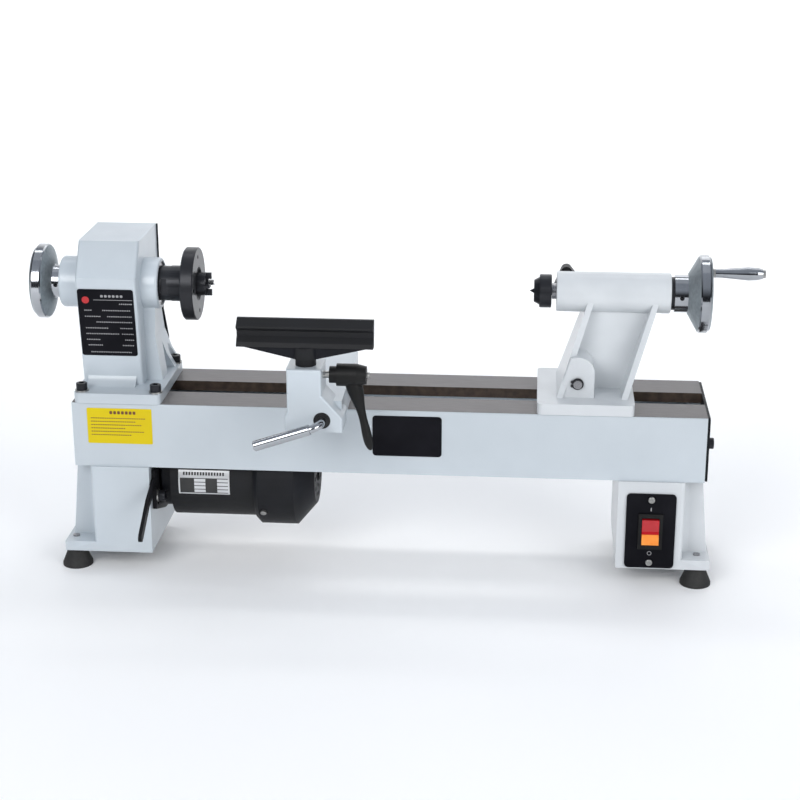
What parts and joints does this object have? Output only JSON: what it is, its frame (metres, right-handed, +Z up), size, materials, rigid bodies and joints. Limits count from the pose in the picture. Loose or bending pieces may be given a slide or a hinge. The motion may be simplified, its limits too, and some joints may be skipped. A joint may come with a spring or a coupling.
{
  "type": "wood lathe",
  "caption": "Bench-top wood lathe with a short cast bed, belt-driven headstock, sliding tailstock, tool rest and handwheels.",
  "frame": {"origin": "centre of the whole machine's footprint, on the surface that the feet stand on", "axes": "+X along the bed from headstock to tailstock, -Y towards the operator, +Z up"},
  "size_m": [0.8438, 0.2618, 0.392],
  "materials": {
    "white_casting": "satin",
    "rubber": "matte",
    "steel": "satin",
    "zinc": "satin",
    "black_steel": "satin",
    "black_paint": "satin",
    "label_black": "matte",
    "black_plastic": "satin",
    "aluminium": "satin",
    "belt_rubber": "matte",
    "chrome": "polished",
    "red_plastic": "gloss"
  },
  "bodies": {
    "base": {"bed_casting": "white_casting", "left_leg": "white_casting", "right_leg": "white_casting", "rubber_feet": "rubber", "foot_screws": "steel", "bed_end_plate": "black_paint", "end_plate_bolts": "black_steel", "headstock_casting": "white_casting", "headstock_bolts": "black_steel", "plain_washers": "zinc", "headstock_nameplate": "label_black", "spindle_bearings": "steel", "door_hinge_pin": "steel", "drive_belt": "belt_rubber", "motor_pivot_bolt": "zinc", "motor_lock_bolt": "zinc", "switch_plate": "label_black", "switch_plate_screws": "zinc", "switch_housing": "black_plastic"},
    "spindle_line": {"spindle": "steel", "spindle_pulley": "aluminium", "spindle_handwheel": "chrome", "spindle_wheel_screw": "black_steel", "faceplate": "black_steel", "spur_center": "black_steel"},
    "motor": {"motor_housing": "black_paint", "motor_end_cover": "black_paint", "motor_cover_screws": "zinc", "motor_swing_plate": "black_paint"},
    "motor_rotor": {"motor_shaft": "steel", "motor_pulley": "aluminium", "cooling_fan": "black_plastic"},
    "door": {"belt_door": "black_paint"},
    "door_latch": {"door_knob": "black_plastic"},
    "rocker": {"switch_rocker": "red_plastic"},
    "tailstock": {"tailstock_casting": "white_casting", "tail_clamp_bolt": "steel", "tail_clamp_plate": "black_steel"},
    "tail_cam": {"tail_lock_shaft": "steel", "tail_lock_circlip": "black_steel", "tail_lock_lever": "black_paint"},
    "quill_slide": {"quill": "steel", "live_center_arbor": "steel"},
    "live_point": {"live_center_head": "black_steel"},
    "tail_wheel": {"tail_handwheel": "chrome", "tail_wheel_screw": "black_steel", "tail_screw": "black_steel", "crank_bolt": "zinc"},
    "crank": {"crank_handle": "chrome"},
    "quill_lock": {"quill_lock_knob": "black_plastic"},
    "banjo_carriage": {"banjo_clamp_bolt": "steel", "banjo_clamp_plate": "black_steel"},
    "banjo": {"banjo_casting": "white_casting"},
    "banjo_cam": {"banjo_cam_lever": "chrome", "banjo_lever_grip": "chrome"},
    "rest_post": {"tool_rest_post": "black_paint"},
    "rest_bar": {"tool_rest_bar": "black_paint"},
    "rest_clamp": {"rest_clamp_lever": "black_plastic", "rest_clamp_stud": "zinc"}
  },
  "joints": [
    {"name": "spindle_spin", "type": "hinge", "parent": "base", "child": "spindle_line", "pos_m": [-0.332, 0.0446, 0.337], "axis": [1, 0, 0], "continuous": true},
    {"name": "motor_tilt", "type": "hinge", "parent": "base", "child": "motor", "pos_m": [-0.282, 0.0966, 0.116], "axis": [-1, 0, 0], "range_deg": [0, 4]},
    {"name": "motor_spin", "type": "hinge", "parent": "motor", "child": "motor_rotor", "pos_m": [-0.222, 0.0446, 0.106], "axis": [1, 0, 0], "continuous": true},
    {"name": "door_swing", "type": "hinge", "parent": "base", "child": "door", "pos_m": [-0.3705, 0.1186, 0.3], "axis": [0, 0, 1], "range_deg": [0, 110]},
    {"name": "door_latch_turn", "type": "hinge", "parent": "door", "child": "door_latch", "pos_m": [-0.333, 0.1196, 0.3815], "axis": [0, 1, 0], "range_deg": [0, 90]},
    {"name": "switch_toggle", "type": "hinge", "parent": "base", "child": "rocker", "pos_m": [0.3025, -0.0254, 0.072], "axis": [1, 0, 0], "range_deg": [0, 11]},
    {"name": "tailstock_slide", "type": "slide", "parent": "base", "child": "tailstock", "axis": [1, 0, 0], "range_m": [-0.06, 0.083]},
    {"name": "tail_cam_turn", "type": "hinge", "parent": "tailstock", "child": "tail_cam", "pos_m": [0.214, 0.0446, 0.24], "axis": [0, 1, 0], "range_deg": [-90, 60]},
    {"name": "tail_wheel_turn", "type": "hinge", "parent": "tailstock", "child": "tail_wheel", "pos_m": [0.338, 0.0446, 0.337], "axis": [-1, 0, 0], "range_deg": [0, 6000]},
    {"name": "quill_feed", "type": "slide", "parent": "tailstock", "child": "quill_slide", "axis": [-1, 0, 0], "range_m": [0, 0.05]},
    {"name": "live_point_spin", "type": "hinge", "parent": "quill_slide", "child": "live_point", "pos_m": [0.173, 0.0446, 0.337], "axis": [1, 0, 0], "continuous": true},
    {"name": "crank_spin", "type": "hinge", "parent": "tail_wheel", "child": "crank", "pos_m": [0.388, 0.02885, 0.366], "axis": [1, 0, 0], "continuous": true},
    {"name": "quill_lock_turn", "type": "hinge", "parent": "tailstock", "child": "quill_lock", "pos_m": [0.2006, 0.0746, 0.337], "axis": [0, 1, 0], "range_deg": [0, 180]},
    {"name": "banjo_along_bed", "type": "slide", "parent": "base", "child": "banjo_carriage", "axis": [1, 0, 0], "range_m": [-0.09, 0.09]},
    {"name": "banjo_in_out", "type": "slide", "parent": "banjo_carriage", "child": "banjo", "axis": [0, 1, 0], "range_m": [-0.025, 0.03]},
    {"name": "banjo_cam_turn", "type": "hinge", "parent": "banjo", "child": "banjo_cam", "pos_m": [-0.069, 0.0446, 0.2235], "axis": [0, 1, 0], "range_deg": [-20, 100]},
    {"name": "rest_height", "type": "slide", "parent": "banjo", "child": "rest_post", "axis": [0, 0, 1], "range_m": [-0.006, 0.025]},
    {"name": "rest_swivel", "type": "hinge", "parent": "rest_post", "child": "rest_bar", "pos_m": [-0.0885, -0.0839, 0.3], "axis": [0, 0, 1], "range_deg": [-30, 30]},
    {"name": "rest_clamp_turn", "type": "hinge", "parent": "banjo", "child": "rest_clamp", "pos_m": [-0.052, -0.0839, 0.271], "axis": [1, 0, 0], "range_deg": [-100, 10]}
  ],
  "couplings": [
    {"joint": "quill_feed", "follows": "tail_wheel_turn", "m_per_rad": 0.000477},
    {"joint": "motor_spin", "follows": "spindle_spin", "ratio": 1.04}
  ]
}
